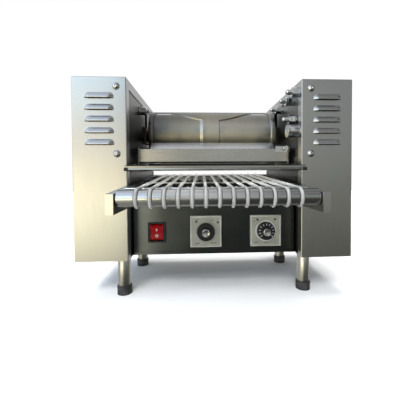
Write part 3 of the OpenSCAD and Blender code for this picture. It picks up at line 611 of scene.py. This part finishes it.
def dial(name, node, body, ticks):
    """A black dial with a fluted edge, a bright many-sided cap and, if ticks is set, pale marks."""
    lo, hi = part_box(node)
    cx, cz = (lo.x + hi.x) / 2, (lo.z + hi.z) / 2
    radius = (hi.x - lo.x) / 2
    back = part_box("temperature_controller_case")[0].y - DIAL_SINK
    front = back - DIAL_FRONT
    grip = DIAL_GRIP
    edge = 1.0 * MM
    skirt = [(0.0001, 0), (radius, 0), (radius, DIAL_FRONT - edge),
             (radius - edge * 0.4, DIAL_FRONT - edge * 0.3), (radius - edge, DIAL_FRONT),
             (grip + 1.2 * MM, DIAL_FRONT - 0.6 * MM), (grip + 0.4 * MM, DIAL_FRONT)]
    body_piece = lathe(name, skirt, (cx, back, cz), (0, -1, 0), black_plastic, body, 144, 48, 0.35 * MM)
    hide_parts(node)
    length = front - lo.y
    cap = [(grip + 0.4 * MM, 0), (grip, length * 0.45), (grip - 0.2 * MM, length - 1.2 * MM),
           (grip - 1.4 * MM, length), (0.0001, length - 0.7 * MM)]
    cap_piece = lathe(name + "_cap", cap, (cx, front, cz), (0, -1, 0), bright_steel, body, 12, sharp=20)
    if not ticks:
        return
    verts, faces = [], []
    for i in range(ticks):
        a = math.radians(-TICK_SWEEP / 2 + TICK_SWEEP * i / (ticks - 1))
        along, aside = Vector((math.sin(a), 0, math.cos(a))), Vector((math.cos(a), 0, -math.sin(a)))
        r0, r1, w = radius - 4.6 * MM, radius - 1.4 * MM, 0.32 * MM
        base = len(verts)
        for r in (r0, r1):
            for side in (-1, 1):
                for h in (front + 0.3 * MM, front - 0.12 * MM):
                    verts.append(Vector((cx, h, cz)) + along * r + aside * side * w)
        faces += [tuple(base + k for k in f) for f in BOX_FACES]
    marks = piece(name + "_marks", verts, faces, mark_paint, body)


def legends(name, node, spots):
    """Small dark marks printed on a controller's face, at places in millimetres from its middle."""
    lo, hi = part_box(node)
    cx, cz, face = (lo.x + hi.x) / 2, (lo.z + hi.z) / 2, lo.y
    boxes = []
    for x, z, w, h in spots:
        boxes.append(((cx + (x - w / 2) * MM, face - 0.06 * MM, cz + (z - h / 2) * MM),
                      (cx + (x + w / 2) * MM, face + 0.3 * MM, cz + (z + h / 2) * MM)))
    verts, faces = box_mesh(boxes)
    marks = piece(name, verts, faces, black_plastic, "chassis")


def lamps(name, node, spots):
    """Dark indicator lenses in a controller's face, at places in millimetres from its middle."""
    lo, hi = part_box(node)
    for i, (x, z) in enumerate(spots):
        at = ((lo.x + hi.x) / 2 + x * MM, lo.y + 0.2 * MM, (lo.z + hi.z) / 2 + z * MM)
        dome = [(1.6 * MM, 0), (1.6 * MM, 0.5 * MM), (1.2 * MM, 1.0 * MM), (0.6 * MM, 1.25 * MM),
                (0.0001, 1.3 * MM)]
        lens = lathe(f"{name}_{i + 1}", dome, at, (0, -1, 0), black_plastic, "chassis", 20)


def scale_ring():
    """The bright ring round the right controller's dial."""
    mid = middle("speed_dial")
    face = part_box("speed_controller_case")[0].y
    ring = [(14.2 * MM, -0.2 * MM), (14.2 * MM, 0.25 * MM), (14.6 * MM, 0.55 * MM), (15.8 * MM, 0.55 * MM),
            (16.2 * MM, 0.2 * MM), (16.2 * MM, -0.2 * MM)]
    obj = lathe("speed_scale_ring", ring, (mid.x, face, mid.z), (0, -1, 0), mark_paint, "chassis", 72)


def lip(name, node):
    """The raised, slanted lip round a controller's face."""
    lo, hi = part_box(node)
    loops = []
    for inset, depth in ((0.1, -0.2), (0.9, 0.7), (1.7, 0.7), (2.0, -0.2)):
        x0, x1, z0, z1 = lo.x + inset * MM, hi.x - inset * MM, lo.z + inset * MM, hi.z - inset * MM
        y = lo.y - depth * MM
        loops.append([(x0, y, z0), (x1, y, z0), (x1, y, z1), (x0, y, z1)])
    verts = [v for loop in loops for v in loop]
    obj = piece(name, verts, rings(4, 4, closed=True), lip_plastic, "chassis")


def rocker_marks():
    """The bar and the ring moulded in the rocker's two halves."""
    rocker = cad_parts["switch_rocker"]
    mid = middle("switch_rocker")
    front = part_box("switch_rocker")[0].y
    for name, height, outer, inner in (("rocker_on_mark", 4.2, (0.9, 2.2), None),
                                       ("rocker_off_mark", -5.2, (2.1, 2.1), 1.2)):
        _, at, normal, _ = rocker.ray_cast((mid.x, front - 0.01, mid.z + height * MM), (0, 1, 0))
        up = Vector((0, 0, 1))
        up = (up - normal * up.dot(normal)).normalized()
        side = up.cross(normal)
        loops = []
        sizes = [outer, outer, (inner, inner), (inner, inner)] if inner else [outer, outer]
        lifts = [-0.2, 0.12, 0.12, -0.2] if inner else [-0.2, 0.12]
        for (a, b), lift in zip(sizes, lifts):
            loops.append([at + side * a * MM * math.cos(t) + up * b * MM * math.sin(t) + normal * lift * MM
                          for t in spread(0, 2 * math.pi, 24)[:-1]])
        n = len(loops[0])
        verts = [v for loop in loops for v in loop]
        faces = rings(len(loops), n, closed=bool(inner))
        if not inner:
            faces += [tuple(range(n)), tuple(range(n, 2 * n))]
        piece(name, verts, faces, mark_paint, "rocker")


def hem_caps():
    """Dark caps on the ends of the tray's front bar."""
    lo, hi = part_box("drip_tray")
    profile = [(0.0001, 0.05 * MM), (1.9 * MM, 0.1 * MM), (2.3 * MM, 0.5 * MM), (2.3 * MM, 5 * MM),
               (1.5 * MM, 5.4 * MM)]
    for name, x, way in (("tray_left_cap", lo.x, 1), ("tray_right_cap", hi.x, -1)):
        cap = lathe(name, profile, (x, lo.y + BAR_R, lo.z + BAR_R), (way, 0, 0), black_plastic, "tray", 24)


# ---------- CAD nodes' finishes ----------

def finish_node(node, material, edge):
    """Gives a CAD node its material and, if its edge isn't 0, rounds its edges that wide."""
    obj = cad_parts[node]
    for slot in obj.material_slots:
        slot.material = material
    if edge:
        weld = obj.modifiers.new("weld", "WELD")
        weld.merge_threshold = 0.002 * MM
        bevel(obj, edge, 2, 40)


FINISHES = [
    (panel_steel, ["control_panel", "rear_panel", "base_plate"]),
    (deck_steel, ["deck_plate"]),
    (plate_steel, ["left_side_plate", "right_side_plate"]),
    (sheet_x, ["batter_tank", "wrapper_chute"]),
    (tray_steel, ["drip_tray"]),
    (blade_steel, ["doctor_plate", "peel_knife"]),
    (rail_steel, ["tank_rails", "tray_rails"]),
    (bracket_steel, ["left_conveyor_bracket", "right_conveyor_bracket"]),
    (bright_steel, ["cover_screws", "rear_tie_rod", "tank_tab", "front_roller_axle",
                    "rear_roller_shaft", "plate_bolts",
                    "socket_boss", "motor_shaft", "drum_drive_shaft"]),
    (rod_steel, ["cord_support_rods"]),
    (roller_steel, ["front_roller", "rear_roller"]),
    (leg_steel, ["legs"]),
    (drum_metal, ["drum_shell", "drum_left_flange", "drum_right_flange"]),
    (plain_steel, ["leg_nuts", "drum_gear", "heater_carrier", "heater_clamp", "knife_holder_bar",
                   "roller_gear", "idler_pins", "motor_bracket", "motor_pinion", "gearbox"]),
    (bronze, ["drum_bearings", "conveyor_bushes"]),
    (cord_mat, ["conveyor_cords"]),
    (foot_rubber, ["rubber_feet"]),
    (black_plastic, ["cable_gland", "switch_bezel", "temperature_dial", "speed_dial",
                     "solid_state_relay"]),
    (red_plastic, ["switch_rocker"]),
    (case_plastic, ["temperature_controller_case", "speed_controller_case"]),
    (nylon, ["upper_idler_gear", "lower_idler_gear", "terminal_block"]),
    (dark_paint, ["gear_motor"]),
    (heat_steel, ["heater_rods"]),
    (cover_steel, ["left_cover", "right_cover"]),
]

# Width of the nodes' rounded edges, and of those that differ
EDGE = 0.25 * MM
EDGES = {"conveyor_cords": 0, "rubber_feet": 1.5 * MM, "switch_bezel": 0.6 * MM,
         "drum_left_flange": 1.0 * MM, "drum_right_flange": 1.0 * MM}


def finish_frame():
    for material, nodes in FINISHES:
        for node in nodes:
            finish_node(node, material, EDGES.get(node, EDGE))


# ---------- studio ----------

def camera():
    """Stands in front of the machine, a little left of its middle and turned to the right."""
    cam = bpy.data.objects.new("camera", bpy.data.cameras.new("camera"))
    bpy.context.scene.collection.objects.link(cam)
    bpy.context.scene.camera = cam
    cam.data.sensor_width = 36
    cam.data.lens = 36 * FOCAL / PICTURE
    cam.data.shift_x = SHIFT[0] / PICTURE
    cam.data.shift_y = SHIFT[1] / PICTURE
    cam.data.clip_start, cam.data.clip_end = 0.01, 50
    yaw, pitch, roll = math.radians(YAW), math.radians(PITCH), math.radians(ROLL)
    right = Vector((math.cos(yaw), math.sin(yaw), 0))
    level = Vector((-math.sin(yaw), math.cos(yaw), 0))
    ahead = level * math.cos(pitch) - Vector((0, 0, math.sin(pitch)))
    up = level * math.sin(pitch) + Vector((0, 0, math.cos(pitch)))
    x = right * math.cos(roll) + up * math.sin(roll)
    y = up * math.cos(roll) - right * math.sin(roll)
    turn = Matrix((x, y, -ahead)).transposed().to_4x4()
    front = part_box("right_side_plate")[0].y - SHEET
    cam.matrix_world = Matrix.Translation((CAMERA_X, front - CAMERA_BACK, CAMERA_Z)) @ turn


def area_light(name, at, target, size, power, colour, angle):
    """A soft light with a limited spread that shows neither itself nor its mirror image."""
    light = bpy.data.lights.new(name, "AREA")
    light.shape = "RECTANGLE"
    light.size, light.size_y = size
    light.energy = power
    light.color = colour
    light.spread = math.radians(angle)
    obj = bpy.data.objects.new(name, light)
    bpy.context.scene.collection.objects.link(obj)
    back = Vector(at) - Vector(target)
    obj.rotation_euler = back.to_track_quat("Z", "Y").to_euler()
    obj.location = at
    obj.visible_camera = False
    obj.visible_glossy = False


def stage_mesh(name, profile, segments=96):
    """A round stage object: a profile of (radius, height) points turned round the Z axis."""
    verts = []
    for r, h in profile:
        verts += [(r * math.cos(a), r * math.sin(a), h) for a in spread(0, 2 * math.pi, segments)[:-1]]
    mesh = bpy.data.meshes.new(name)
    mesh.from_pydata(verts, [], rings(len(profile), segments))
    mesh.shade_smooth()
    obj = bpy.data.objects.new(name, mesh)
    bpy.context.scene.collection.objects.link(obj)
    mat = bpy.data.materials.new(name)
    mat.use_nodes = True
    mesh.materials.append(mat)
    return obj, mat.node_tree.nodes["Principled BSDF"]


def studio():
    """A pale floor, a white backdrop all round, the room that the metal mirrors, and four soft lights."""
    floor, shader = stage_mesh("floor", [(0.001, 0), (0.8, 0), (FLOOR_R, 0)])
    shader.inputs["Base Color"].default_value = (0.88, 0.88, 0.88, 1)
    shader.inputs["Roughness"].default_value = 0.9
    shader.inputs["Specular IOR Level"].default_value = 0.1
    shader.inputs["Emission Color"].default_value = (1, 1, 1, 1)
    tree = floor.active_material.node_tree
    away = tree.nodes.new("ShaderNodeVectorMath")
    away.operation = "LENGTH"
    tree.links.new(tree.nodes.new("ShaderNodeTexCoord").outputs["Object"], away.inputs[0])
    rise = tree.nodes.new("ShaderNodeMapRange")
    rise.interpolation_type = "SMOOTHSTEP"
    rise.inputs["From Min"].default_value, rise.inputs["From Max"].default_value = FLOOR_FADE
    tree.links.new(away.outputs["Value"], rise.inputs["Value"])
    tree.links.new(rise.outputs["Result"], shader.inputs["Emission Strength"])
    floor.visible_glossy = False

    arc = [(1.5 * FLOOR_R * math.cos(a), 1.5 * FLOOR_R * math.sin(a)) for a in spread(-0.3, math.pi / 2, 24)]
    backdrop, shader = stage_mesh("backdrop", arc)
    shader.inputs["Base Color"].default_value = (0, 0, 0, 1)
    shader.inputs["Emission Color"].default_value = (1, 1, 1, 1)
    shader.inputs["Emission Strength"].default_value = 1.0
    for ray in ("diffuse", "glossy", "transmission", "volume_scatter", "shadow"):
        setattr(backdrop, "visible_" + ray, False)

    studio_sky()
    for light in LIGHTS:
        area_light(*light)
    bpy.context.scene.view_settings.view_transform = "Standard"


def studio_sky():
    """The room that the metal mirrors: dim in front, with a bright window on its left."""
    world = bpy.data.worlds.new("studio")
    bpy.context.scene.world = world
    world.use_nodes = True
    nodes, links = world.node_tree.nodes, world.node_tree.links
    direction = nodes.new("ShaderNodeSeparateXYZ")
    links.new(nodes.new("ShaderNodeTexCoord").outputs["Generated"], direction.inputs[0])

    def fade(axis, start, end):
        """0 before start and 1 after end along one axis of the view direction."""
        node = nodes.new("ShaderNodeMapRange")
        node.interpolation_type = "SMOOTHSTEP"
        node.inputs["From Min"].default_value = start
        node.inputs["From Max"].default_value = end
        links.new(direction.outputs[axis], node.inputs["Value"])
        return node.outputs["Result"]

    height = nodes.new("ShaderNodeMapRange")
    height.inputs["From Min"].default_value = -1
    links.new(direction.outputs["Z"], height.inputs["Value"])

    def column(*stops):
        """Colours at heights of the view direction, as (height, colour) pairs."""
        node = nodes.new("ShaderNodeValToRGB")
        elements = node.color_ramp.elements
        while len(elements) < len(stops):
            elements.new(0.5)
        for element, (z, colour) in zip(elements, stops):
            element.position = (z + 1) / 2
            element.color = (*(c / SKY_GAIN for c in colour), 1)
        links.new(height.outputs["Result"], node.inputs["Fac"])
        return node.outputs["Color"]

    def blend(a, b, factor):
        node = nodes.new("ShaderNodeMix")
        node.data_type = "RGBA"
        links.new(factor, node.inputs[0])
        links.new(a, node.inputs[6])
        links.new(b, node.inputs[7])
        return node.outputs[2]

    outer = column((-0.6, (0.30, 0.30, 0.29)), (-0.1, (0.60, 0.60, 0.58)), (0.1, (1.4, 1.4, 1.4)),
                   (0.9, (1.4, 1.4, 1.4)))
    window = column((-0.8, (0.40, 0.39, 0.33)), (-0.42, (0.80, 0.78, 0.64)), (-0.30, (0.9, 0.88, 0.7)),
                    (-0.24, (2.8, 2.5, 1.7)), (-0.13, (4.3, 4.2, 3.2)), (-0.02, (3.9, 3.3, 2.1)),
                    (0.08, (1.2, 1.0, 0.75)), (0.20, (1.9, 1.9, 1.85)), (0.36, (2.4, 3.2, 3.8)),
                    (0.6, (1.3, 1.5, 1.8)), (0.93, (1.1, 1.2, 1.5)), (1.0, (0.6, 0.6, 0.6)))
    shadow = column((-0.5, (0.08, 0.08, 0.07)), (0.0, (0.17, 0.17, 0.16)), (0.4, (0.17, 0.17, 0.16)),
                    (0.8, (0.6, 0.6, 0.6)))
    middle = column((-0.7, (0.07, 0.07, 0.065)), (-0.35, (0.14, 0.14, 0.13)), (-0.15, (0.40, 0.40, 0.38)),
                    (-0.03, (0.72, 0.72, 0.69)), (0.06, (0.80, 0.80, 0.77)), (0.4, (0.80, 0.80, 0.77)),
                    (0.85, (0.80, 0.80, 0.80)), (1.0, (0.6, 0.6, 0.6)))
    right = column((-0.5, (0.09, 0.09, 0.08)), (-0.27, (0.13, 0.14, 0.10)), (-0.2, (0.20, 0.21, 0.15)),
                   (-0.1, (0.33, 0.34, 0.29)), (0.0, (0.33, 0.34, 0.33)), (0.09, (0.45, 0.46, 0.43)),
                   (0.30, (0.54, 0.58, 0.60)), (0.45, (0.22, 0.23, 0.24)), (0.68, (0.20, 0.21, 0.21)),
                   (0.78, (0.50, 0.50, 0.50)), (0.86, (0.22, 0.23, 0.24)), (1.0, (0.25, 0.26, 0.26)))
    back = column((-0.6, (0.35, 0.35, 0.34)), (0.0, (0.85, 0.85, 0.85)), (1.0, (0.75, 0.75, 0.75)))

    room = blend(outer, window, fade("X", -0.95, -0.80))
    room = blend(room, shadow, fade("X", -0.26, -0.16))
    room = blend(room, middle, fade("X", -0.13, 0.04))
    room = blend(room, right, fade("X", 0.12, 0.45))
    sky = nodes["Background"]
    links.new(blend(room, back, fade("Y", 0.0, 0.5)), sky.inputs["Color"])
    sky.inputs["Strength"].default_value = SKY_GAIN


# ---------- the object ----------

camera()
finish_frame()
cover("left_cover_sheet", "left_cover")
cover("right_cover_sheet", "right_cover")
drum_surface()
grooved_roller("front_roller_tube", "front_roller", "front_roller")
grooved_roller("rear_roller_tube", "rear_roller", "drive_roller")
dial("temperature_dial_body", "temperature_dial", "temperature_knob", 0)
dial("speed_dial_body", "speed_dial", "speed_knob", 11)
scale_ring()
lip("temperature_lip", "temperature_controller_case")
lip("speed_lip", "speed_controller_case")
rocker_marks()
hem_caps()
lamps("temperature_lamp", "temperature_controller_case", [(-14.5, 15.5), (18.5, 14)])
lamps("speed_lamp", "speed_controller_case", [(-13, 17.5), (14.5, 17.5)])
legends("temperature_legend", "temperature_controller_case",
        [(-14, 18.6, 7, 0.6), (12, -17.8, 9, 0.9), (-13, -17.8, 7, 0.9), (9, 17, 5, 0.6)])
legends("speed_legend", "speed_controller_case",
        [(-18, 19.6, 3.2, 0.6), (-18, 15.4, 3.2, 0.6), (-15, -18, 5.5, 0.9), (1, -18.2, 7, 0.6),
         (18.4, 17.5, 1.6, 0.6)])
studio()
